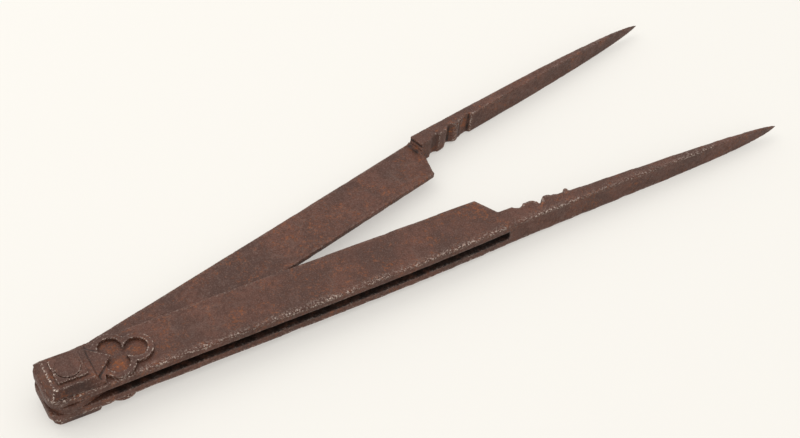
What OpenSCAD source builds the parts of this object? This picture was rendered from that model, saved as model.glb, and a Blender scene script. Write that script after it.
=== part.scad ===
// Large forged iron dividers. A slotted leg of two cheeks and a leaf leg that
// folds into it turn on one riveted pin. A boxed plate with a pierced trefoil
// covers each end of the pin, under a square rove.
//
// The hinge axis is Z and the slotted leg points along +X. z = 0 is the flat
// end of the pin's lower head, the face that the hinge end lies on.

/* [Legs] */
// Distance from the hinge axis to the two points
reach = 458; // [400:0.1:560]
// Angle between the legs as they are stored
opening = 15.2; // [0:0.1:60]
// Thickness of each leg, measured along the pin
leg_t = 14.7; // [12:0.1:18]
// Distance from the hinge axis to the bottom of the slot
slot_len = 250.4; // [200:0.1:300]
// Height of the slot between the cheeks
slot_h = 4.9; // [4:0.1:7]
// Gap left between the legs where they meet when closed
leg_gap = 0.3; // [0.2:0.05:1]

/* [Slotted leg] */
// Distance from the hinge axis to the head's end
head_back = 14.4; // [13:0.1:20]
// Half the width of the head at the hinge axis
head_half = 13.9; // [12:0.1:18]
// Corner radius of the head
head_round = 6; // [3:0.1:10]
// Height of the cheeks' inner edge over the leg's axis at its widest
cheek_in = 18; // [14:0.1:24]
// Hollow of the cheeks' inner edge between the hinge and its widest
cheek_hollow = 2.1; // [0:0.1:4]
// Length of the slope that ends the cheeks' inner edge
cheek_slope = 7.2; // [4:0.1:14]
// Depth of the cheeks' outer edge under the leg's axis at the slot's bottom
cheek_out = 8; // [6:0.1:12]
// Waist of the cheeks' outer edge next to the hinge
cheek_waist = 2.4; // [0:0.1:4]
// Depth of the point's outer edge half way along the point
point_out = 6.2; // [4:0.1:9]

/* [Leaf leg] */
// Thickness of the leaf
leaf_t = 3; // [2:0.1:4.4]
// Clearance above and below the knuckle in the slot
knuckle_gap = 0.1; // [0.05:0.01:0.5]
// Inset of the knuckle's sides from the sides of the head
knuckle_in = 0.4; // [0.2:0.1:2]
// Distance from the hinge axis to the knuckle's end
knuckle_back = 14.2; // [12:0.1:20]
// Corner radius of the knuckle
knuckle_round = 8.4; // [6:0.1:13]
// Distance from the hinge axis to where the knuckle has thinned to the leaf
knuckle_len = 70; // [30:1:120]
// Height of the leaf's outer edge over the leg's axis at the shoulder
leaf_out = 15.3; // [10:0.1:20]
// Swell of the leaf's outer edge next to the knuckle
leaf_swell = 1.5; // [0:0.1:3]
// Fall of the leaf's outer edge to its waist
waist_fall = 0.9; // [0:0.1:6]
// Depth of the leaf's inner edge under the leg's axis at its free corner
leaf_in = 12.9; // [8:0.1:16]
// Distance by which the leaf's end leans back at its free corner
leaf_lean = 5.5; // [0:0.1:8]
// Radius of the leaf's free corner
leaf_round = 2.5; // [1:0.1:5]
// Gap between the leaf's end and the bottom of the slot
leaf_end_gap = 0.5; // [0.3:0.1:2]
// Width of the point at the shoulder
shoulder_w = 9.6; // [7:0.1:14]

/* [Ornament] */
// Height over the leg's axis of the line on which the ornaments meet
meet_y = 4.8; // [2:0.1:6]
// Length of the flat land before the first bead
land_len = 9; // [5:0.1:12]
// Radius of the two large beads
bead_r = 4.3; // [2.5:0.1:5]
// Radius of the thin bead that ends the ornament
end_bead_r = 1.6; // [1:0.1:3]
// Depth of the slotted leg's coves, before and after its large beads
cove_depth = 2.1; // [1:0.1:3]
// Depth of the leaf leg's coves
leaf_cove_depth = 1.8; // [0.8:0.1:3]
// Length of the cove before the large beads
cove_len = 7.2; // [4:0.1:12]
// Length of the cove after the large beads
end_cove_len = 8.6; // [4:0.1:12]
// Depth of the notch between the slotted leg's large beads
notch_depth = 4.2; // [2.2:0.1:5]
// Depth of the notch between the leaf leg's large beads
leaf_notch_depth = 2.5; // [1.5:0.1:5]
// Length of both notches
notch_w = 2.6; // [1:0.1:5]

/* [Points] */
// Distance from the hinge axis to where the points begin to thin
taper_from = 305; // [300:0.5:380]
// Width and thickness of the very tip
tip_size = 0.5; // [0.3:0.1:2]

/* [Hinge] */
// Diameter of the pin
pin_d = 11; // [8:0.1:12]
// Diameter of the pin's riveted heads
head_d = 12.7; // [12.2:0.1:14]
// Height of the riveted heads over the roves
head_rise = 0.4; // [0.2:0.05:1]
// Radial running clearance of the knuckle on the pin
run_gap = 0.06; // [0.02:0.01:0.1]
// Side of the square roves
rove_w = 15; // [14.5:0.1:18]
// Thickness of the roves
rove_t = 1.1; // [0.8:0.1:2]
// Height of the box over the cheek
box_h = 4.6; // [3:0.1:7]
// Side of the upper box at its top
box_top = 20.4; // [18:0.1:24]
// Slope of the upper box's sides, measured across
box_slope = 3; // [1:0.1:5]
// Slope of the lower box's sides, measured across
low_slope = 1.1; // [0.4:0.1:5]
// Distance from the hinge axis to the upper box's corners
box_corner = 18.2; // [15:0.1:20]
// Distance from the hinge axis to the lower box's worn corners
low_corner = 15.7; // [15:0.1:20]

/* [Trefoil] */
// Thickness of the pierced plate
plate_t = 2; // [1.2:0.1:2.8]
// Radius of the three piercings
lobe_r = 5.7; // [4:0.1:7]
// Width of the rim round each piercing
rim_w = 3.2; // [2:0.1:5]
// Distance from the upper box's top edge to the two near piercings
lobe_out = 12.8; // [10:0.1:18]
// Distance between the centres of the two near piercings
lobe_span = 10.4; // [8:0.1:14]
// Distance from the near piercings to the far one
lobe_step = 11.2; // [8:0.1:14]
// Length of the tongue from the foot of the box to its point
tongue_len = 8; // [6:0.1:12]
// Height of the tongue over the plate where it leaves the box
tongue_rise = 1.6; // [0.4:0.1:2.2]
// Width of the tongue's point
tongue_tip = 1.2; // [0.4:0.1:4]
// Width of the upper plate between the box and the piercings
neck_w = 18.6; // [14:0.1:26]
// Width of the lower plate between the box and the piercings
low_neck_w = 25.6; // [14:0.1:26]
// Length of the spurs at the box's corners
spur_len = 0.6; // [0.2:0.1:2]
// Angle by which the upper trefoil leans from the leg's axis
top_lean = 1.6; // [-4:0.1:5]
// Angle by which the lower trefoil leans from the leg's axis
bottom_lean = 1.2; // [-4:0.1:5]

/* [Hidden] */

$fn = 64;
IRON = [0.30, 0.23, 0.20];
DARK_IRON = [0.24, 0.19, 0.17];
WORN_IRON = [0.40, 0.35, 0.31];

face_z = leg_t / 2;                               // cheek face, from mid thickness
slot_z = slot_h / 2;                              // slot wall, from mid thickness
knuckle_z = slot_z - knuckle_gap;                 // knuckle face, from mid thickness
box_z = face_z + box_h;                           // box top, from mid thickness
pin_z = box_z + rove_t + head_rise;               // end of the pin, from mid thickness
point_len = reach - slot_len;
box_foot = box_top + 2 * box_slope;               // side of both boxes at the foot
first_bead = land_len + cove_len + bead_r;        // beads and cove, from the ornament's start
second_bead = first_bead + 2 * bead_r + notch_w;
end_cove = second_bead + bead_r * 0.8;
end_bead = end_cove + end_cove_len + end_bead_r;
cut = 1;                                          // how far a cut runs past a face
side = 2 * head_back;                             // room left behind the head in a side view

// Points along a cubic curve from a to d, steered by b and c
function curve(a, b, c, d, steps = 12) =
    [for (i = [0 : steps]) let (t = i / steps, s = 1 - t)
        s * s * s * a + 3 * s * s * t * b + 3 * s * t * t * c + t * t * t * d];

// A solid of the given plan, h thick, centred on mid thickness
module slab(h) {
    translate([0, 0, -h / 2])
        linear_extrude(h)
            children();
}

// Side view of a leg, wider than any leg: full thickness, then the thinning point
module leg_side() {
    thinning = reach - taper_from;
    upper = curve([taper_from, face_z],
                  [taper_from + thinning / 2, face_z],
                  [reach - thinning * 0.07, face_z * 0.85],
                  [reach, tip_size / 2]);
    lower = [for (i = [len(upper) - 1 : -1 : 0]) [upper[i][0], -upper[i][1]]];
    translate([0, reach / 2, 0])
        rotate([90, 0, 0])
            linear_extrude(reach)
                polygon(concat([[-side, -face_z], [-side, face_z]], upper, lower));
}

// Head in plan, from its rounded end to the hinge axis
module head_plan(back, half, round) {
    translate([round - back, -half])
        square([back - round, 2 * half]);
    translate([-back, round - half])
        square([back + round, 2 * (half - round)]);
    for (y = [round - half, half - round])
        translate([round - back, y])
            circle(round);
}

// Radius of a cove from its length and depth
function cove_r(length, depth) = (length * length / 4 + depth * depth) / 2 / depth;

// Inner edge of a point in plan, with the meeting line as its axis: a flat land,
// a cove, two beads, a second cove and a thin bead
module ornament(depth) {
    foot = meet_y + cheek_out / 2;
    difference() {
        union() {
            translate([0, -foot])
                square([first_bead, foot]);
            translate([first_bead, -foot])
                square([end_bead - first_bead, foot - depth]);
            translate([end_cove, -foot])
                square([end_cove_len * 0.4, foot - depth * 0.6]);
            for (x = [first_bead, second_bead])
                translate([x, -bead_r])
                    circle(bead_r);
            translate([end_bead, -end_bead_r])
                circle(end_bead_r);
        }
        for (cove = [[land_len, cove_len], [end_cove, end_cove_len]])
            translate([cove[0] + cove[1] / 2, cove_r(cove[1], depth) - depth])
                circle(cove_r(cove[1], depth));
    }
}

// Gap between the two large beads
module notch(depth) {
    translate([first_bead + bead_r, -depth])
        square([notch_w, depth + cut]);
}

// Slotted leg: two cheeks that are one with its point
module slotted_leg() {
    crest = meet_y - leg_gap / 2;
    valley_x = slot_len - leaf_end_gap;
    solid_x = slot_len + slot_h;
    cheek_end = valley_x - cheek_slope;
    inner = curve([0, head_half], [cheek_end * 0.33, cheek_in - cheek_hollow / 2],
                  [cheek_end * 0.5, cheek_in - cheek_hollow], [cheek_end, cheek_in]);
    base = crest - cove_depth;
    inner_point = curve([solid_x, base], [solid_x + point_len * 0.2, base],
                        [solid_x + point_len * 0.4, 0], [reach, -leg_gap / 2]);
    outer_point = curve([reach, -leg_gap / 2 - tip_size],
                        [reach - point_len * 0.1, -point_out * 0.76],
                        [solid_x + point_len * 0.4, -point_out * 0.76],
                        [solid_x, -cheek_out]);
    outer_cheek = curve([solid_x, -cheek_out],
                        [slot_len * 0.68, cheek_waist / 6 - head_half],
                        [slot_len * 0.34, cheek_waist - head_half],
                        [0, -head_half]);
    color(IRON)
        difference() {
            intersection() {
                union() {
                    slab(leg_t)
                        polygon(concat(inner, [[valley_x, crest], [solid_x, crest]],
                                       inner_point, outer_point, outer_cheek));
                    slab(leg_t)
                        head_plan(head_back, head_half, head_round);
                    translate([slot_len, crest])
                        slab(leg_t)
                            ornament(cove_depth);
                }
                leg_side();
            }
            translate([-side, -reach / 2, -slot_z])
                cube([slot_len + side, reach, slot_h]);
            translate([slot_len, crest])
                slab(leg_t + 2 * cut)
                    notch(notch_depth);
            cylinder(d = pin_d, h = leg_t + 2 * cut, center = true);
        }
}

// Leaf leg: a thin leaf with a knuckle at the pin, shouldered to a thick point
module leaf_leg() {
    crest = meet_y + leg_gap / 2;
    shoulder_x = slot_len + leg_gap;
    leaf_end = slot_len - leaf_end_gap;
    base = crest + leaf_cove_depth;
    outer = curve([0, head_half], [slot_len * 0.3, head_half + leaf_swell],
                  [slot_len * 0.45, leaf_out - waist_fall], [shoulder_x, leaf_out]);
    corner_x = leaf_end - leaf_lean;
    corner = curve([corner_x, leaf_round - leaf_in], [corner_x, -leaf_in],
                   [corner_x - leaf_round / 2, -leaf_in],
                   [corner_x - 1.5 * leaf_round, -leaf_in], 6);
    point_outer = curve([shoulder_x, crest + shoulder_w],
                        [slot_len + point_len * 0.3, crest + shoulder_w * 0.63],
                        [slot_len + point_len * 0.6, crest + shoulder_w * 0.3],
                        [reach, leg_gap / 2 + tip_size]);
    plain_x = slot_len + end_bead;
    plain_len = reach - plain_x;
    point_inner = concat(curve([reach, leg_gap / 2], [plain_x + plain_len * 0.64, crest * 0.28],
                               [plain_x + plain_len * 0.3, crest * 0.6], [plain_x, crest], 6),
                         [[plain_x, base], [shoulder_x, base]]);
    color(IRON)
        intersection() {
            difference() {
                union() {
                    intersection() {
                        slab(slot_h) {
                            polygon(concat(outer, [[shoulder_x + cut, crest + shoulder_w - cut],
                                                   [shoulder_x + cut, crest],
                                                   [leaf_end, crest], [leaf_end, 0]],
                                           corner, [[0, knuckle_in - head_half]]));
                            head_plan(knuckle_back, head_half - knuckle_in, knuckle_round);
                        }
                        leaf_side();
                    }
                    slab(leg_t)
                        polygon(concat(point_outer, point_inner));
                    slab(leg_t)
                        intersection() {
                            translate([slot_len, crest])
                                mirror([0, 1])
                                    ornament(leaf_cove_depth);
                            translate([shoulder_x, crest])
                                square([point_len, shoulder_w / 2]);
                        }
                }
                cylinder(d = pin_d + 2 * run_gap, h = leg_t, center = true);
                translate([slot_len, crest])
                    slab(leg_t + 2 * cut)
                        mirror([0, 1])
                            notch(leaf_notch_depth);
            }
            leg_side();
        }
}

// Side view of the leaf, wider than the leaf: the knuckle thins to the leaf
module leaf_side() {
    half = [[-side, knuckle_z], [knuckle_back, knuckle_z],
            [knuckle_len, leaf_t / 2], [reach, leaf_t / 2]];
    under = [for (i = [len(half) - 1 : -1 : 0]) [half[i][0], -half[i][1]]];
    translate([0, reach / 2, 0])
        rotate([90, 0, 0])
            linear_extrude(reach)
                polygon(concat(half, under));
}

// One face of a box seen along the other: a trapezium standing on the cheek
module box_side(slope) {
    foot = box_foot / 2;
    rotate([90, 0, 0])
        linear_extrude(box_foot, center = true)
            polygon([[-foot, 0], [foot, 0], [foot - slope, box_h], [slope - foot, box_h]]);
}

// Tongue that runs from the box over the plate and ends in a point
module tongue() {
    start = box_top / 2;
    end = box_foot / 2 + tongue_len;
    low = plate_t / 2;
    intersection() {
        linear_extrude(box_h)
            polygon([[start, -start], [start, start],
                     [end, tongue_tip / 2], [end, -tongue_tip / 2]]);
        rotate([90, 0, 0])
            linear_extrude(box_foot, center = true)
                polygon([[start - cut, low], [start - cut, plate_t + tongue_rise],
                         [box_foot / 2, plate_t + tongue_rise * 0.6],
                         [end, plate_t + tongue_rise * 0.4], [end, low]]);
    }
}

// Pierced plate with its spurs, in plan
module trefoil_plan(neck) {
    near = box_top / 2 + lobe_out;
    far = near + lobe_step;
    foot = box_foot / 2;
    centres = [[near, lobe_span / 2], [near, -lobe_span / 2], [far, 0]];
    difference() {
        union() {
            for (c = centres)
                translate(c)
                    circle(lobe_r + rim_w);
            for (half = [0, 1])
                mirror([0, half])
                    polygon([[0, 0], [foot / 2, foot - spur_len],
                             [foot + spur_len, foot - spur_len / 2],
                             [foot + spur_len * 3, neck / 2],
                             [near, lobe_span / 2 + lobe_r], [near, 0]]);
        }
        for (c = centres)
            translate(c)
                circle(lobe_r);
        translate([near + lobe_step * 0.4, 0])
            circle(lobe_r / 2);
    }
}

// Box over the pin's end with its pierced plate, standing on z = 0
module trefoil_plate(lean, slope, corner, neck) {
    difference() {
        union() {
            intersection() {
                box_side(slope);
                rotate([0, 0, 90])
                    box_side(slope);
                cylinder(r = corner, h = box_h);
            }
            rotate([0, 0, lean]) {
                linear_extrude(plate_t)
                    trefoil_plan(neck);
                tongue();
            }
        }
        translate([0, 0, -cut])
            cylinder(d = pin_d, h = box_h + 2 * cut);
    }
}

module top_trefoil_plate() {
    color(DARK_IRON)
        translate([0, 0, face_z])
            trefoil_plate(top_lean, box_slope, box_corner, neck_w);
}

module bottom_trefoil_plate() {
    color(DARK_IRON)
        mirror([0, 0, 1])
            translate([0, 0, face_z])
                trefoil_plate(bottom_lean, low_slope, low_corner, low_neck_w);
}

// Square rove standing on z = 0, countersunk for the riveted head
module rove() {
    difference() {
        translate([0, 0, rove_t / 2])
            cube([rove_w, rove_w, rove_t], center = true);
        cylinder(d1 = pin_d, d2 = head_d, h = rove_t);
    }
}

module top_rove() {
    color(WORN_IRON)
        translate([0, 0, box_z])
            rove();
}

module bottom_rove() {
    color(WORN_IRON)
        mirror([0, 0, 1])
            translate([0, 0, box_z])
                rove();
}

// Pin riveted into the roves at both ends
module pivot_pin() {
    color(WORN_IRON) {
        cylinder(d = pin_d, h = 2 * box_z, center = true);
        for (end = [0, 1])
            mirror([0, 0, end])
                translate([0, 0, box_z]) {
                    cylinder(d1 = pin_d, d2 = head_d, h = rove_t);
                    translate([0, 0, rove_t])
                        cylinder(d1 = head_d, d2 = head_d - head_rise, h = head_rise);
                }
    }
}

// Lifts the model so that the pin's lower head ends on z = 0
module stand() {
    translate([0, 0, pin_z])
        children();
}

stand() slotted_leg();
stand() rotate(opening) leaf_leg();
stand() top_trefoil_plate();
stand() bottom_trefoil_plate();
stand() top_rove();
stand() bottom_rove();
stand() pivot_pin();
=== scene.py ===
"""Visual model of large forged iron dividers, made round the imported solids."""
import math

import bmesh
import bpy
import numpy as np
from bpy.props import FloatProperty, FloatVectorProperty, IntProperty, PointerProperty
from mathutils import Matrix, Quaternion, Vector


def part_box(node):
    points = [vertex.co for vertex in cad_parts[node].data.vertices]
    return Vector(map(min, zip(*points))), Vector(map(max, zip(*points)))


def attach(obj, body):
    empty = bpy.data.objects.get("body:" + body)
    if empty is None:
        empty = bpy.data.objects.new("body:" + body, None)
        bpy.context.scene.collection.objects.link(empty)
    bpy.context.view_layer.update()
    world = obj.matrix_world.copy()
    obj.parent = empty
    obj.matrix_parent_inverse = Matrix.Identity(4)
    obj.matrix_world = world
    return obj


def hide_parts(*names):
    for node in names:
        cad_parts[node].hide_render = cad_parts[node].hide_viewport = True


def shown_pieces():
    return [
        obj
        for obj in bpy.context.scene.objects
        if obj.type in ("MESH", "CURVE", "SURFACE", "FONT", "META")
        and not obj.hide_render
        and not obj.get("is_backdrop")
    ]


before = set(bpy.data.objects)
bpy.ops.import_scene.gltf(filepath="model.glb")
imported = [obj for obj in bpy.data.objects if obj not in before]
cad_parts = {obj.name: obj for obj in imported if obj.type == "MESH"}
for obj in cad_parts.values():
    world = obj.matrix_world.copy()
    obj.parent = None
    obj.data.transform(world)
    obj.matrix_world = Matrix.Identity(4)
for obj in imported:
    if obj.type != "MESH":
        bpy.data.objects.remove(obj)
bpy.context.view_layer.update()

bl_info = {
    "name": "Forged Iron Dividers",
    "version": (1, 0, 0),
    "blender": (4, 5, 0),
    "location": "3D View > Sidebar > Dividers",
    "description": "Skins, iron finishes and a plain studio for large folding dividers",
    "category": "Object",
}

MM = 0.001
LEG_BODY = "slotted_leg_body"
LEAF_BODY = "leaf_leg_body"
HINGE_Z = sum(corner.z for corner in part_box("slotted_leg")) / 2

# Distances from the hinge axis along a leg
SHOULDER = 250.7 * MM
SLOT_END = 251 * MM


# ---------------------------------------------------------------- settings

class SkinSettings(bpy.types.PropertyGroup):
    """How finely the skins are made and how far the forging strays from the solids."""

    leg_grain: FloatProperty(
        name="Slotted Leg Mesh Size", description="Distance between the points of the slotted leg's skin",
        default=0.44 * MM, unit="LENGTH")
    leaf_grain: FloatProperty(
        name="Leaf Leg Mesh Size", description="Distance between the points of the leaf leg's skin",
        default=0.40 * MM, unit="LENGTH")
    plate_grain: FloatProperty(
        name="Plate Mesh Size", description="Distance between the points of the trefoil plates' skins",
        default=0.24 * MM, unit="LENGTH")
    rivet_grain: FloatProperty(
        name="Rivet Mesh Size", description="Distance between the points of the roves' and pin's skins",
        default=0.22 * MM, unit="LENGTH")
    hammer_depth: FloatProperty(
        name="Hammer Marks", description="Depth of the shallow hollows that the hammer left",
        default=0.10 * MM, unit="LENGTH")
    pit_depth: FloatProperty(
        name="Pits", description="Depth of the rust pits",
        default=0.10 * MM, unit="LENGTH")
    chip_depth: FloatProperty(
        name="Arris Wear", description="Depth of the knocks along the arrises",
        default=0.14 * MM, unit="LENGTH")
    most_faces: IntProperty(
        name="Most Triangles", description="Triangles that a finished skin is thinned to",
        default=190000, min=1000)


class IronSettings(bpy.types.PropertyGroup):
    """Colours of the old iron."""

    brown: FloatVectorProperty(
        name="Brown", description="Colour of most of the patina",
        subtype="COLOR", size=3, min=0, max=1, default=(0.099, 0.0345, 0.0200))
    umber: FloatVectorProperty(
        name="Umber", description="Colour of the dark patches of the patina",
        subtype="COLOR", size=3, min=0, max=1, default=(0.054, 0.0200, 0.0120))
    slate: FloatVectorProperty(
        name="Slate", description="Colour of the greyer grains of the patina",
        subtype="COLOR", size=3, min=0, max=1, default=(0.120, 0.070, 0.055))
    rust: FloatVectorProperty(
        name="Rust", description="Colour of the orange rust",
        subtype="COLOR", size=3, min=0, max=1, default=(0.27, 0.080, 0.022))
    # Besides rubbed metal, this colour paints highlights on the box's end and on the lit edges of the pin
    # and roves.
    bare: FloatVectorProperty(
        name="Bare Iron", description="Colour of the iron where the patina is rubbed away",
        subtype="COLOR", size=3, min=0, max=1, default=(0.62, 0.52, 0.45))
    # Besides the dirt in the corners, this colour paints the shade in the slotted leg's slot and on the
    # box's near side.
    grime_and_shade: FloatVectorProperty(
        name="Grime_and_shade", description="Colour of the dirt in the corners",
        subtype="COLOR", size=3, min=0, max=1, default=(0.006, 0.003, 0.002))


class StudioSettings(bpy.types.PropertyGroup):
    """Camera, lamps and floor."""

    eye: FloatVectorProperty(
        name="Camera Place", description="Where the camera stands",
        subtype="TRANSLATION", unit="LENGTH", size=3, default=(-0.10859, -0.39524, 0.52194))
    aim: FloatVectorProperty(
        name="Camera Aim", description="Point that the camera looks at",
        subtype="TRANSLATION", unit="LENGTH", size=3, default=(0.20178, 0.02920, 0.01345))
    roll: FloatProperty(
        name="Camera Roll", description="Turn of the camera about its line of sight",
        subtype="ANGLE", unit="ROTATION", default=math.radians(7.642))
    lens: FloatProperty(
        name="Lens", description="Focal length on a 36 mm wide sensor, in millimetres",
        default=59.33, min=10, max=200)
    sky: FloatProperty(
        name="Tent Light", description="Strength of the white light from overhead",
        default=1.28, min=0)
    shade: FloatProperty(
        name="Tent Shade", description="Strength of the low light, as a share of the light from overhead",
        default=0.62, min=0, max=1)
    key: FloatProperty(
        name="Key Light", description="Power of the large lamp behind the dividers",
        default=3.0, min=0, unit="POWER")
    floor: FloatVectorProperty(
        name="Floor", description="Colour of the paper under the dividers",
        subtype="COLOR", size=3, min=0, max=1, default=(0.425, 0.415, 0.39))
    glow: FloatProperty(
        name="Paper Glow", description="Light that comes through the paper from under it",
        default=0.415, min=0)


# ---------------------------------------------------------------- arrays and meshes

def read_points(mesh):
    """Places of a mesh's points as an array of rows x, y, z."""
    flat = np.empty(len(mesh.vertices) * 3, np.float32)
    mesh.vertices.foreach_get("co", flat)
    return flat.reshape(-1, 3).astype(float)


def write_points(mesh, points):
    """Puts an array of rows x, y, z back into a mesh."""
    mesh.vertices.foreach_set("co", points.astype(np.float32).ravel())
    mesh.update()


def read_normals(mesh):
    """Outward directions at a mesh's points."""
    flat = np.empty(len(mesh.vertices) * 3, np.float32)
    mesh.vertex_normals.foreach_get("vector", flat)
    return flat.reshape(-1, 3).astype(float)


def read_edges(mesh):
    """Pairs of point numbers that an edge joins."""
    flat = np.empty(len(mesh.edges) * 2, np.int32)
    mesh.edges.foreach_get("vertices", flat)
    return flat.reshape(-1, 2)


def write_share(mesh, name, values):
    """Stores one number per point under a name that the materials read."""
    layer = mesh.attributes.new(name, "FLOAT", "POINT")
    layer.data.foreach_set("value", np.clip(values, 0, 1).astype(np.float32))


def relax(points, edges, rounds):
    """Each round moves every point half way to the mean of its neighbours."""
    count = len(points)
    both = np.concatenate([edges, edges[:, ::-1]])
    degree = np.maximum(np.bincount(both[:, 0], minlength=count), 1)
    for _ in range(rounds):
        mean = np.stack([np.bincount(both[:, 0], points[both[:, 1], axis], count)
                         for axis in range(3)], axis=1) / degree[:, None]
        points = (points + mean) / 2
    return points


def ease(low, high, values):
    """0 below low, 1 above high, and 3t^2 - 2t^3 of the share t between them."""
    t = np.clip((values - low) / (high - low), 0, 1)
    return t * t * (3 - 2 * t)


def noise(points, size, seed):
    """Lattice noise from -1 to 1. Every corner of a cubic lattice of the given size
    holds a number made from its place and the seed, and a point takes the numbers of
    the eight corners round it, shared out by 3t^2 - 2t^3 along each axis."""
    cell = points / size
    corner = np.floor(cell).astype(np.int64)
    t = cell - corner
    t = t * t * (3 - 2 * t)
    total = np.zeros(len(points))
    for step in np.ndindex(2, 2, 2):
        x, y, z = (corner + step).T
        mixed = (x * 73856093) ^ (y * 19349663) ^ (z * 83492791) ^ (seed * 49979687)
        mixed = (mixed ^ (mixed >> 13)) * 1274126177 & 0xFFFFFF
        share = np.prod(np.where(step, t, 1 - t), axis=1)
        total += share * (mixed / 0x7FFFFF - 1)
    return total


def merged_copy(node, name):
    """A new object with a copy of a CAD node's mesh, its loose triangles joined."""
    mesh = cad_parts[node].data.copy()
    mesh.materials.clear()
    work = bmesh.new()
    work.from_mesh(mesh)
    bmesh.ops.remove_doubles(work, verts=work.verts, dist=0.001 * MM)
    work.to_mesh(mesh)
    work.free()
    mesh.name = name
    piece = bpy.data.objects.new(name, mesh)
    bpy.context.scene.collection.objects.link(piece)
    return piece


def settle(piece):
    """Puts what a piece's modifiers make of its mesh in the place of that mesh."""
    graph = bpy.context.evaluated_depsgraph_get()
    mesh = bpy.data.meshes.new_from_object(piece.evaluated_get(graph))
    piece.modifiers.clear()
    old, piece.data = piece.data, mesh
    bpy.data.meshes.remove(old)
    mesh.name = piece.name
    mesh.shade_smooth()


def skinned(node, name, grain):
    """A copy of a CAD node covered with an even net of small faces."""
    piece = merged_copy(node, name)
    net = piece.modifiers.new("Even net", "REMESH")
    net.mode = "VOXEL"
    net.voxel_size = grain
    settle(piece)
    return piece


def thinned(piece, limit):
    """Merges the smallest faces until no more triangles than the limit are left."""
    mesh = piece.data
    mesh.calc_loop_triangles()
    share = limit / len(mesh.loop_triangles)
    if share >= 1:
        return
    thin = piece.modifiers.new("Thinned", "DECIMATE")
    thin.ratio = share
    settle(piece)


def forging_depth(points, arris, seed):
    """How far the points lie under the even skin: hammer marks of two sizes, pits that
    come in patches, smaller pits all over, and knocks where the arris share is high."""
    sizes = bpy.context.scene.dividers_skin
    marks = (0.6 * noise(points, 17 * MM, seed) + 0.4 * noise(points, 6.5 * MM, seed + 1) + 1) / 2
    patchy = ease(-0.25, 0.5, noise(points, 13 * MM, seed + 2))
    pits = ease(0.25, 0.75, noise(points, 1.7 * MM, seed + 3)) * patchy
    pits += 0.6 * ease(0.3, 0.8, noise(points, 0.9 * MM, seed + 4))
    knocks = arris * ease(0.0, 0.8, noise(points, 6.1 * MM, seed + 5))
    return sizes.hammer_depth * marks + sizes.pit_depth * pits + sizes.chip_depth * knocks


def rust_share(points, spots):
    """Rust at each point: the largest of the spots' strengths, each of which falls off as
    exp(-(d / radius)^2), d being the distance from the spot's middle."""
    rust = np.zeros(len(points))
    for x, y, z, radius, strength in spots:
        away = np.linalg.norm(points - np.array([x, y, z]) * MM, axis=1)
        rust = np.maximum(rust, strength * np.exp(-(away / (radius * MM)) ** 2))
    return rust


def weather(piece, node, grain, soften, spread, seed, rubbed, spots=(), carve=None, painted_shade=None):
    """Turns an even skin into worn forged iron. The arrises are rounded by `soften`
    rounds of relaxing, and then `carve` shapes what the solid leaves out. A point's arris
    share is how far it stands out from the skin relaxed by `spread` rounds, and its share of
    the hollows how far it lies under it, both measured against the mesh size. Every
    point then moves inwards by the forging's depth, and stays inside the solid's box.
    `rubbed` turns arris shares into bare metal, and the last argument adds painted
    shade outside the hollows, which joins the share of the hollows."""
    mesh = piece.data
    edges = read_edges(mesh)
    points = relax(read_points(mesh), edges, soften)
    write_points(mesh, points)
    if carve is not None:
        points = carve(points, read_normals(mesh))
        write_points(mesh, points)
    normals = read_normals(mesh)
    standing = np.einsum("ij,ij->i", points - relax(points, edges, spread), normals)
    arris = ease(0.06 * grain, 0.38 * grain, standing)
    hollow_and_shade = ease(0.06 * grain, 0.42 * grain, -standing)
    low, high = (np.array(corner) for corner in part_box(node))
    moved = points - normals * forging_depth(points, arris, seed)[:, None]
    write_points(mesh, np.clip(moved, low, high))
    # Painted shade that a piece adds joins the share of the hollows.
    if painted_shade is not None:
        hollow_and_shade = np.maximum(hollow_and_shade, painted_shade(points, normals))
    write_share(mesh, "arris", rubbed(points, normals, arris))
    write_share(mesh, "hollow_and_shade", hollow_and_shade)
    write_share(mesh, "rusted", rust_share(points, spots))
    thinned(piece, bpy.context.scene.dividers_skin.most_faces)


def finish_piece(piece, node, body, material):
    """Gives a skin its finish and its body, and hides the CAD node that it stands for."""
    piece.data.materials.clear()
    piece.data.materials.append(material)
    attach(piece, body)
    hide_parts(node)


# ---------------------------------------------------------------- iron finishes

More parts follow.
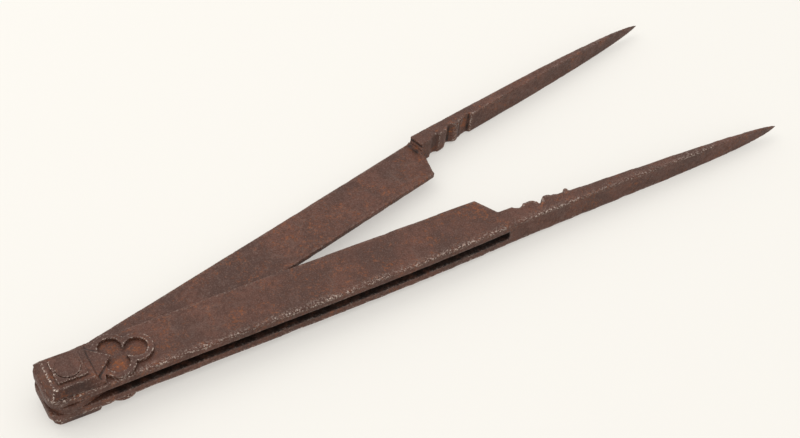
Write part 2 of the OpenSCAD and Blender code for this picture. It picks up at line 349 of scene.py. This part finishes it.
class Net:
    """Short ways to add and join the nodes of one tree."""

    def __init__(self, tree):
        self.tree = tree
        self.column = 0

    def add(self, kind, **values):
        """A new node. Words that name a property set it, and the rest set its inputs."""
        node = self.tree.nodes.new(kind)
        self.column += 1
        node.location = (self.column * 170, -(self.column % 4) * 160)
        for key, value in values.items():
            if hasattr(node, key):
                setattr(node, key, value)
            else:
                self.feed(node.inputs[key.replace("_", " ")], value)
        return node

    def feed(self, socket, value):
        """Joins an output to a socket, or sets the socket's own value."""
        if isinstance(value, bpy.types.NodeSocket):
            self.tree.links.new(value, socket)
        elif isinstance(value, (tuple, list)) and len(value) == 3 and socket.type == "RGBA":
            socket.default_value = (*value, 1)
        else:
            socket.default_value = value

    def math(self, kind, first, second=0.0, clamp=False):
        """One sum on two numbers."""
        node = self.add("ShaderNodeMath", operation=kind, use_clamp=clamp)
        self.feed(node.inputs[0], first)
        self.feed(node.inputs[1], second)
        return node.outputs[0]

    def blend(self, share, first, second):
        """The first colour where the share is 0 and the second where it is 1."""
        node = self.add("ShaderNodeMix", data_type="RGBA")
        self.feed(node.inputs[0], share)
        self.feed(node.inputs[6], first)
        self.feed(node.inputs[7], second)
        return node.outputs[2]

    def ramp(self, value, low, high, start=0.0, end=1.0):
        """A number eased from start at low to end at high."""
        node = self.add("ShaderNodeMapRange", interpolation_type="SMOOTHSTEP")
        for socket, item in zip(node.inputs[:5], (value, low, high, start, end)):
            self.feed(socket, item)
        return node.outputs[0]

    def cloud(self, vector, scale, detail=4.0, roughness=0.6, distortion=0.0):
        """Cloudy noise from 0 to 1."""
        node = self.add("ShaderNodeTexNoise", Vector=vector, Scale=scale, Detail=detail,
                        Roughness=roughness, Distortion=distortion)
        return node.outputs["Fac"]


def new_group(name, inputs, outputs):
    """An empty shader node group with the named sockets, and its two end nodes."""
    group = bpy.data.node_groups.new(name, "ShaderNodeTree")
    kinds = {"number": "NodeSocketFloat", "colour": "NodeSocketColor", "vector": "NodeSocketVector"}
    for side, sockets in (("INPUT", inputs), ("OUTPUT", outputs)):
        for label, kind, value in sockets:
            socket = group.interface.new_socket(label, in_out=side, socket_type=kinds[kind])
            if value is not None:
                socket.default_value = (*value, 1) if kind == "colour" else value
    net = Net(group)
    start = net.add("NodeGroupInput")
    end = net.add("NodeGroupOutput")
    return group, net, start.outputs, end.inputs


def patina_group():
    """Brown skin of old iron: clouds of two browns, a fine mottle and orange rust."""
    iron = bpy.context.scene.dividers_iron
    group, net, given, out = new_group(
        "Iron patina",
        [("Vector", "vector", None), ("Brown", "colour", iron.brown), ("Umber", "colour", iron.umber),
         ("Slate", "colour", iron.slate), ("Rust", "colour", iron.rust),
         ("Rusted", "number", 0.0), ("Rust Spread", "number", 0.2)],
        [("Color", "colour", None), ("Roughness", "number", None), ("Height", "number", None)])
    where = given["Vector"]
    broad = net.cloud(where, 45.0, detail=5.0, roughness=0.62, distortion=0.4)
    mottle = net.cloud(where, 330.0, detail=6.0, roughness=0.68)
    grain = net.cloud(where, 1250.0, roughness=0.75)
    bloom = net.cloud(where, 62.0, roughness=0.7, distortion=1.2)
    skin = net.blend(net.ramp(broad, 0.36, 0.64), given["Umber"], given["Brown"])
    skin = net.blend(net.ramp(mottle, 0.46, 0.64, 0.0, 0.7), skin, given["Umber"])
    skin = net.blend(net.ramp(bloom, 0.54, 0.70, 0.0, 0.45), skin, given["Slate"])
    skin = net.blend(net.ramp(grain, 0.50, 0.64, 0.0, 0.8), skin, given["Slate"])
    skin = net.blend(net.ramp(grain, 0.48, 0.36, 0.0, 0.85), skin, given["Umber"])
    specks = net.ramp(net.cloud(where, 640.0, detail=5.0, roughness=0.72, distortion=0.3), 0.49, 0.62)
    drift = net.ramp(net.cloud(where, 95.0, roughness=0.65, distortion=0.8), 0.46, 0.66)
    spread = net.math("MULTIPLY", given["Rust Spread"], drift)
    flecks = net.math("MULTIPLY", specks, net.math("ADD", spread, given["Rusted"], True))
    core = net.math("MULTIPLY", net.math("POWER", given["Rusted"], 2.0), net.ramp(mottle, 0.36, 0.60))
    rusty = net.math("ADD", flecks, net.math("MULTIPLY", core, 0.7), True)
    net.feed(out["Color"], net.blend(rusty, skin, given["Rust"]))
    rough = net.ramp(mottle, 0.3, 0.7, 0.46, 0.66)
    net.feed(out["Roughness"], net.math("ADD", rough, net.math("MULTIPLY", rusty, 0.2), True))
    pits = net.add("ShaderNodeTexVoronoi", Vector=where, Scale=520.0, Randomness=1.0)
    pit = net.ramp(pits.outputs["Distance"], 0.05, 0.34)
    fine = net.math("MULTIPLY", grain, 0.7)
    height = net.math("ADD", net.math("MULTIPLY", mottle, 0.9), fine)
    net.feed(out["Height"], net.math("ADD", height, net.math("MULTIPLY", pit, 0.25)))
    return group


def wear_group():
    """Pale speckle where the arrises are rubbed down to the metal, which on the box's end and on the pin
    and roves is partly a painted highlight.
    """
    iron = bpy.context.scene.dividers_iron
    group, net, given, out = new_group(
        "Worn arris",
        [("Vector", "vector", None), ("Color", "colour", None), ("Bare", "colour", iron.bare),
         ("Arris", "number", 0.0), ("Wear", "number", 0.6)],
        [("Color", "colour", None), ("Mask", "number", None)])
    where = given["Vector"]
    speckle = net.ramp(net.cloud(where, 980.0, roughness=0.75), 0.51, 0.61)
    patches = net.ramp(net.cloud(where, 75.0, detail=3.0), 0.30, 0.62, 0.25, 1.0)
    share = net.math("MULTIPLY", net.math("MULTIPLY", given["Arris"], speckle), patches)
    share = net.math("MULTIPLY", share, given["Wear"], True)
    net.feed(out["Color"], net.blend(share, given["Color"], given["Bare"]))
    net.feed(out["Mask"], share)
    return group


def grime_and_shade_group():
    """Dark dirt that has settled in the hollows and corners, and painted shade where a piece adds it: in
    the slot and on the box's near side.
    """
    iron = bpy.context.scene.dividers_iron
    group, net, given, out = new_group(
        "Settled grime",
        [("Vector", "vector", None), ("Color", "colour", None), ("Grime_and_shade", "colour", iron.grime_and_shade),
         ("Hollow", "number", 0.0), ("Amount", "number", 0.8)],
        [("Color", "colour", None), ("Mask", "number", None)])
    broken = net.ramp(net.cloud(given["Vector"], 260.0), 0.3, 0.6, 0.45, 1.0)
    share = net.math("MULTIPLY", net.math("MULTIPLY", given["Hollow"], broken), given["Amount"], True)
    net.feed(out["Color"], net.blend(share, given["Color"], given["Grime_and_shade"]))
    net.feed(out["Mask"], share)
    return group


def group_node(net, maker, name, **values):
    """A node that holds the named group, which is made the first time it is asked for."""
    group = bpy.data.node_groups.get(name) or maker()
    node = net.add("ShaderNodeGroup", node_tree=group)
    for key, value in values.items():
        net.feed(node.inputs[key.replace("_", " ")], value)
    return node.outputs


def iron_finish(name, wear, rust_spread, grime_and_shade, relief):
    """Old forged iron: patina, then dirt in its hollows and painted shade where a piece adds it, then
    bare metal on its arrises.
    """
    made = bpy.data.materials.get(name)
    if made:
        return made
    finish = bpy.data.materials.new(name)
    finish.use_nodes = True
    finish.node_tree.nodes.clear()
    net = Net(finish.node_tree)
    where = net.add("ShaderNodeTexCoord").outputs["Object"]
    shares = {key: net.add("ShaderNodeAttribute", attribute_name=key).outputs["Fac"]
              for key in ("arris", "hollow_and_shade", "rusted")}
    patina = group_node(net, patina_group, "Iron patina", Vector=where,
                        Rusted=shares["rusted"], Rust_Spread=rust_spread)
    # Dirt in the hollows and painted shade on some pieces, both laid in one near-black colour
    grimed_and_shaded = group_node(net, grime_and_shade_group, "Settled grime", Vector=where, Color=patina["Color"],
                       Hollow=shares["hollow_and_shade"], Amount=grime_and_shade)
    worn = group_node(net, wear_group, "Worn arris", Vector=where, Color=grimed_and_shaded["Color"],
                      Arris=shares["arris"], Wear=wear)
    rough = net.math("SUBTRACT", patina["Roughness"], net.math("MULTIPLY", worn["Mask"], 0.22), True)
    bump = net.add("ShaderNodeBump", Strength=relief, Distance=0.25 * MM, Height=patina["Height"])
    surface = net.add("ShaderNodeBsdfPrincipled", Base_Color=worn["Color"], Roughness=rough,
                      Metallic=net.math("MULTIPLY", worn["Mask"], 0.75), Normal=bump.outputs[0])
    surface.inputs["Specular IOR Level"].default_value = 0.3
    net.add("ShaderNodeOutputMaterial", Surface=surface.outputs[0])
    return finish


def leg_finish():
    """Iron of the two legs, with the most rust and the least bare metal."""
    return iron_finish("Forged iron", wear=0.8, rust_spread=0.48, grime_and_shade=0.9, relief=0.75)


def plate_finish():
    """Iron of the trefoil plates, rubbed barer than the legs."""
    return iron_finish("Plate iron", wear=1.0, rust_spread=0.40, grime_and_shade=0.9, relief=0.7)


def rivet_finish():
    """Iron of the pin and the roves, with the least rust and dirt."""
    return iron_finish("Rivet iron", wear=1.0, rust_spread=0.3, grime_and_shade=0.8, relief=0.7)


# ---------------------------------------------------------------- pieces

# Rust spots: x, y, z and radius in millimetres, then strength
SLOTTED_LEG_RUST = [
    (24, -5.2, 21, 4.6, 0.85), (34, 0, 21, 4, 0.6), (24, 5.2, 21, 4, 0.45),
    (238, 15, 20, 9, 0.45), (21, 12, 21, 5, 0.30), (230, 16, 21, 14, 0.2),
    (140, 8, 21, 30, 0.10), (276, 1, 19, 2.5, 0.5)]
LEAF_LEG_RUST = [
    (226, 50, 15, 12, 0.32), (240, 73.5, 15, 4, 0.5), (265.2, 78.3, 15, 3.0, 1.0),
    (278.3, 81.8, 15, 3.6, 1.0), (150, 40, 15, 22, 0.10)]
PLATE_RUST = [(-13, -3, 22, 7, 0.35), (14, -10, 22, 4, 0.25)]


def drawn_out(points, along, reach):
    """Draws the end of a leg out to its full reach, which the even net leaves short.
    A point moves along the leg by the missing length times the eased share of its
    way through the last stretch."""
    stretch = 14 * MM
    distance = points @ along
    end = distance.max()
    share = ease(end - stretch, end, distance)
    return points + along * ((reach - end) * share)[:, None]


def on_ornament(distance):
    """1 over the beads and coves of a leg, eased to 0 at both ends of them."""
    return ease(262 * MM, 266 * MM, distance) * ease(300 * MM, 296 * MM, distance)


class DIVIDERS_OT_slotted_leg(bpy.types.Operator):
    """Skin of the slotted leg"""

    bl_idname = "dividers.slotted_leg"
    bl_label = "Slotted Leg"

    def execute(self, context):
        sizes = context.scene.dividers_skin
        low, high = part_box("slotted_leg")
        piece = skinned("slotted_leg", "slotted_leg_iron", sizes.leg_grain)

        def carve(points, normals):
            return drawn_out(points, np.array([1.0, 0, 0]), high.x)

        def rubbed(points, normals, arris):
            """Little wear on most arrises, more on the ornament, full wear on the outer edge.
            Beside the outer edge the faces are worn too: the share falls off from the
            edge as exp(-(d / width)^2), d being a point's distance from the outermost
            point at the same distance along the leg."""
            step = 2 * MM
            width = 2.6 * MM
            along = points[:, 0]
            station = np.clip(((along - low.x) / step).astype(int), 0, None)
            edge = np.full(station.max() + 1, np.inf)
            np.minimum.at(edge, station, points[:, 1])
            away = points[:, 1] - edge[station]
            outside = np.abs(points[:, 2] - HINGE_Z) > 5.6 * MM
            band = (np.exp(-(away / width) ** 2) * outside
                    * (1 - 0.4 * ease(240 * MM, 300 * MM, along)))
            share = np.clip(0.22 + 0.8 * band + 0.5 * on_ornament(along), 0, 1)
            flat = np.abs(normals[:, 2]) > 0.6
            return np.maximum(arris * share, 0.72 * band * flat * ease(14 * MM, 30 * MM, along))

        def painted_shade(points, normals):
            """Painted shade all over the walls and the bottom of the slot, but not round the knuckle."""
            inside = np.abs(points[:, 2] - HINGE_Z) < 3.0 * MM
            return ease(6 * MM, 22 * MM, points[:, 0]) * inside * (points[:, 0] < SLOT_END)

        weather(piece, "slotted_leg", sizes.leg_grain, soften=2, spread=30, seed=11, rubbed=rubbed,
                spots=SLOTTED_LEG_RUST, carve=carve, painted_shade=painted_shade)
        finish_piece(piece, "slotted_leg", LEG_BODY, leg_finish())
        return {"FINISHED"}


class DIVIDERS_OT_leaf_leg(bpy.types.Operator):
    """Skin of the leaf leg"""

    bl_idname = "dividers.leaf_leg"
    bl_label = "Leaf Leg"

    def execute(self, context):
        sizes = context.scene.dividers_skin
        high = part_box("leaf_leg")[1]
        piece = skinned("leaf_leg", "leaf_leg_iron", sizes.leaf_grain)
        angle = math.atan2(high.y, high.x)
        along = np.array([math.cos(angle), math.sin(angle), 0])
        across = np.array([-along[1], along[0], 0])
        reach = math.hypot(high.x, high.y)

        def carve(points, normals):
            """Cuts a groove under the shoulder's lip and fills the corner between leaf
            and shoulder. The groove goes in by its depth times exp(-(h / width)^2), h being
            the height from its middle line, and the corner is filled with a quarter circle
            that is cut off at its highest rise."""
            groove_depth, groove_height, groove_width = 1.0 * MM, 5.1 * MM, 0.8 * MM
            radius, highest = 2.4 * MM, 1.6 * MM
            ahead = points @ along - SHOULDER
            height = points[:, 2] - HINGE_Z
            facing = np.clip(-normals @ along, 0, 1)
            lip = np.exp(-((np.abs(height) - groove_height) / groove_width) ** 2)
            near = ease(-1.2 * MM, -0.2 * MM, ahead) * ease(1.5 * MM, 0.7 * MM, ahead)
            points = points + along * (groove_depth * lip * facing * near)[:, None]
            back = np.clip(radius + ahead, 0, radius)
            rise = radius - np.sqrt(radius ** 2 - back ** 2)
            leaf = np.abs(normals[:, 2]) * (ahead < 0.3 * MM) * (np.abs(height) < 2.6 * MM)
            points[:, 2] += np.sign(height) * np.minimum(rise, highest) * leaf
            return drawn_out(points, along, reach)

        def rubbed(points, normals, arris):
            """Little wear on most arrises and more on the ornament's crests."""
            crests = on_ornament(points @ along) * ease(8 * MM, 6 * MM, points @ across)
            return arris * (0.22 + 0.6 * crests)

        weather(piece, "leaf_leg", sizes.leaf_grain, soften=2, spread=30, seed=23, rubbed=rubbed,
                spots=LEAF_LEG_RUST, carve=carve)
        finish_piece(piece, "leaf_leg", LEAF_BODY, leg_finish())
        return {"FINISHED"}


class DIVIDERS_OT_trefoil_plates(bpy.types.Operator):
    """Skins of the two boxed trefoil plates"""

    bl_idname = "dividers.trefoil_plates"
    bl_label = "Trefoil Plates"

    def execute(self, context):
        sizes = context.scene.dividers_skin
        for number, side in enumerate(("top", "bottom")):
            node = f"{side}_trefoil_plate"
            piece = skinned(node, f"{side}_trefoil_plate_iron", sizes.plate_grain)
            weather(piece, node, sizes.plate_grain, soften=5, spread=26, seed=41 + 10 * number,
                    rubbed=self.rubbed, spots=PLATE_RUST, painted_shade=self.painted_shade)
            finish_piece(piece, node, LEG_BODY, plate_finish())
        return {"FINISHED"}

    def rubbed(self, points, normals, arris):
        """The box is worn most at its end away from the legs, less beside the slotted leg's outer edge
        and hardly elsewhere, and the pierced plate is worn all along its rim; at the box's end this bare
        metal is partly a painted highlight."""
        x, y = points[:, 0], points[:, 1]
        box = np.maximum(ease(-6 * MM, -9 * MM, x), 0.35 * ease(-8 * MM, -10 * MM, y))
        return arris * np.where(x > 15 * MM, 0.85, 0.12 + 0.88 * box)

    def painted_shade(self, points, normals):
        """Painted shade, with some darker patina, on the box's slope beside the slotted leg's outer edge,
        thickest in its middle.
        It falls off as exp(-d^4), d being the distance from there in half sizes of the patch."""
        middle = np.array([1.0, -12.2]) * MM
        away = np.linalg.norm((points[:, :2] - middle) / [9 * MM, 2.6 * MM], axis=1)
        return 0.62 * np.exp(-away ** 4) * (normals[:, 1] < -0.4)


class DIVIDERS_OT_rivet(bpy.types.Operator):
    """Skins of the pin and its two square roves"""

    bl_idname = "dividers.rivet"
    bl_label = "Pin and Roves"

    def execute(self, context):
        sizes = context.scene.dividers_skin
        for number, node in enumerate(("top_rove", "bottom_rove", "pivot_pin")):
            piece = skinned(node, f"{node}_iron", sizes.rivet_grain)
            weather(piece, node, sizes.rivet_grain, soften=3, spread=20, seed=71 + 10 * number,
                    rubbed=self.rubbed)
            finish_piece(piece, node, LEG_BODY, rivet_finish())
        return {"FINISHED"}

    def rubbed(self, points, normals, arris):
        """Wear on the roves' two outer edges and a trace of it on one side of the pin's heads, partly a
        painted highlight where they catch the light.
        """
        x, y = points[:, 0], points[:, 1]
        outer = np.maximum(ease(-5.5 * MM, -6.8 * MM, x), ease(-5.8 * MM, -7.0 * MM, y))
        # A pale trace on the side of the pin's heads that catches the light: painted highlight, partly
        # wear
        head = 0.30 * ease(-2 * MM, 6 * MM, x - y)
        return arris * np.clip(0.06 + outer + head, 0, 1)


# ---------------------------------------------------------------- studio

def resting_slope():
    """Slopes a and b of the plane z = a x + b y + c that the dividers rest on, and c.
    Of all planes of a fan of small slopes, each raised until it touches the lowest
    point over it, it is the one that comes nearest to the middle of the dividers.
    Every third point of each piece is enough for this."""
    points = np.concatenate([read_points(piece.data)[::3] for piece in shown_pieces()])
    slopes = np.stack(np.meshgrid(np.linspace(-0.01, 0.04, 101), np.linspace(-0.02, 0.03, 51)),
                      axis=-1).reshape(-1, 2)
    gaps = np.min(points[:, 2] - slopes @ points[:, :2].T, axis=1)
    middle = points.mean(axis=0)
    best = np.argmax(slopes @ middle[:2] + gaps)
    return (*slopes[best], gaps[best])


def lamp(name, place, target, size, power, colour):
    """A square soft lamp that faces the target."""
    data = bpy.data.lights.new(name, "AREA")
    data.shape = "SQUARE"
    data.size = size
    data.energy = power
    data.color = colour
    thing = bpy.data.objects.new(name, data)
    thing.location = place
    thing.rotation_euler = (Vector(target) - Vector(place)).to_track_quat("-Z", "Y").to_euler()
    bpy.context.scene.collection.objects.link(thing)


class DIVIDERS_OT_studio(bpy.types.Operator):
    """Pale paper floor, soft tent light and the camera"""

    bl_idname = "dividers.studio"
    bl_label = "Studio"

    def execute(self, context):
        studio = context.scene.dividers_studio
        self.lay_floor(studio)
        self.light(context, studio)
        self.aim_camera(context, studio)
        return {"FINISHED"}

    def lay_floor(self, studio):
        """A wide sheet on the plane that the dividers rest on."""
        rise_x, rise_y, drop = resting_slope()
        half_width = 4.0
        corners = [(x * half_width, y * half_width, (rise_x * x + rise_y * y) * half_width + drop)
                   for x, y in ((-1, -1), (1, -1), (1, 1), (-1, 1))]
        mesh = bpy.data.meshes.new("Paper floor")
        mesh.from_pydata(corners, [], [(0, 1, 2, 3)])
        paper = bpy.data.materials.new("Paper")
        paper.use_nodes = True
        surface = paper.node_tree.nodes["Principled BSDF"]
        surface.inputs["Base Color"].default_value = (*studio.floor, 1)
        surface.inputs["Roughness"].default_value = 0.9
        surface.inputs["Specular IOR Level"].default_value = 0.1
        surface.inputs["Emission Color"].default_value = (1.0, 0.975, 0.93, 1)
        surface.inputs["Emission Strength"].default_value = studio.glow
        mesh.materials.append(paper)
        floor = bpy.data.objects.new("Paper floor", mesh)
        bpy.context.scene.collection.objects.link(floor)
        floor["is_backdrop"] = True

    def light(self, context, studio):
        """White light from all round, strongest overhead, and a large lamp behind on the left."""
        world = bpy.data.worlds.new("Tent")
        world.use_nodes = True
        net = Net(world.node_tree)
        outward = net.add("ShaderNodeTexCoord").outputs["Generated"]
        toward = net.add("ShaderNodeVectorMath", operation="DOT_PRODUCT")
        net.feed(toward.inputs[0], outward)
        overhead = Vector((-0.22, 0.25, 0.94)).normalized()
        toward.inputs[1].default_value = overhead
        sky = world.node_tree.nodes["Background"]
        sky.inputs["Color"].default_value = (1.0, 0.99, 0.97, 1)
        net.feed(sky.inputs["Strength"], net.ramp(toward.outputs["Value"], -0.3, 0.9,
                                                  studio.sky * studio.shade, studio.sky))
        context.scene.world = world
        target = Vector(studio.aim)
        lamp("Key lamp", target + Vector((-0.35, 0.70, 1.1)), target,
             size=0.9, power=studio.key, colour=(1.0, 0.97, 0.93))
        context.scene.view_settings.view_transform = "Standard"

    def aim_camera(self, context, studio):
        """The camera looks from its place to its aim and is rolled about that line."""
        data = bpy.data.cameras.new("Camera")
        data.sensor_width = 36
        data.lens = studio.lens
        data.clip_start = 0.01
        camera = bpy.data.objects.new("Camera", data)
        eye = Vector(studio.eye)
        look = (Vector(studio.aim) - eye).to_track_quat("-Z", "Y")
        camera.matrix_world = Matrix.Translation(eye) @ (
            look @ Quaternion((0, 0, 1), studio.roll)).to_matrix().to_4x4()
        context.scene.collection.objects.link(camera)
        context.scene.camera = camera


# ---------------------------------------------------------------- add-on

class DIVIDERS_PT_sidebar(bpy.types.Panel):
    """Lists the settings and the steps that make the dividers"""

    bl_idname = "DIVIDERS_PT_sidebar"
    bl_label = "Forged Iron Dividers"
    bl_space_type = "VIEW_3D"
    bl_region_type = "UI"
    bl_category = "Dividers"

    def draw(self, context):
        layout = self.layout
        for label, group in (("Skins", context.scene.dividers_skin),
                             ("Iron", context.scene.dividers_iron),
                             ("Studio", context.scene.dividers_studio)):
            box = layout.box()
            box.label(text=label)
            for key in type(group).__annotations__:
                box.prop(group, key)
        for step in STEPS:
            layout.operator(step.bl_idname)


STEPS = (DIVIDERS_OT_slotted_leg, DIVIDERS_OT_leaf_leg, DIVIDERS_OT_trefoil_plates,
         DIVIDERS_OT_rivet, DIVIDERS_OT_studio)
GROUPS = {"dividers_skin": SkinSettings, "dividers_iron": IronSettings,
          "dividers_studio": StudioSettings}


def register():
    for kind in (*GROUPS.values(), *STEPS, DIVIDERS_PT_sidebar):
        bpy.utils.register_class(kind)
    for name, kind in GROUPS.items():
        setattr(bpy.types.Scene, name, PointerProperty(type=kind))


def unregister():
    for name in GROUPS:
        delattr(bpy.types.Scene, name)
    for kind in reversed((*GROUPS.values(), *STEPS, DIVIDERS_PT_sidebar)):
        bpy.utils.unregister_class(kind)


def main():
    """Makes the pieces and the stage."""
    register()
    bpy.ops.dividers.slotted_leg()
    bpy.ops.dividers.leaf_leg()
    bpy.ops.dividers.trefoil_plates()
    bpy.ops.dividers.rivet()
    bpy.ops.dividers.studio()


if __name__ == "__main__":
    main()
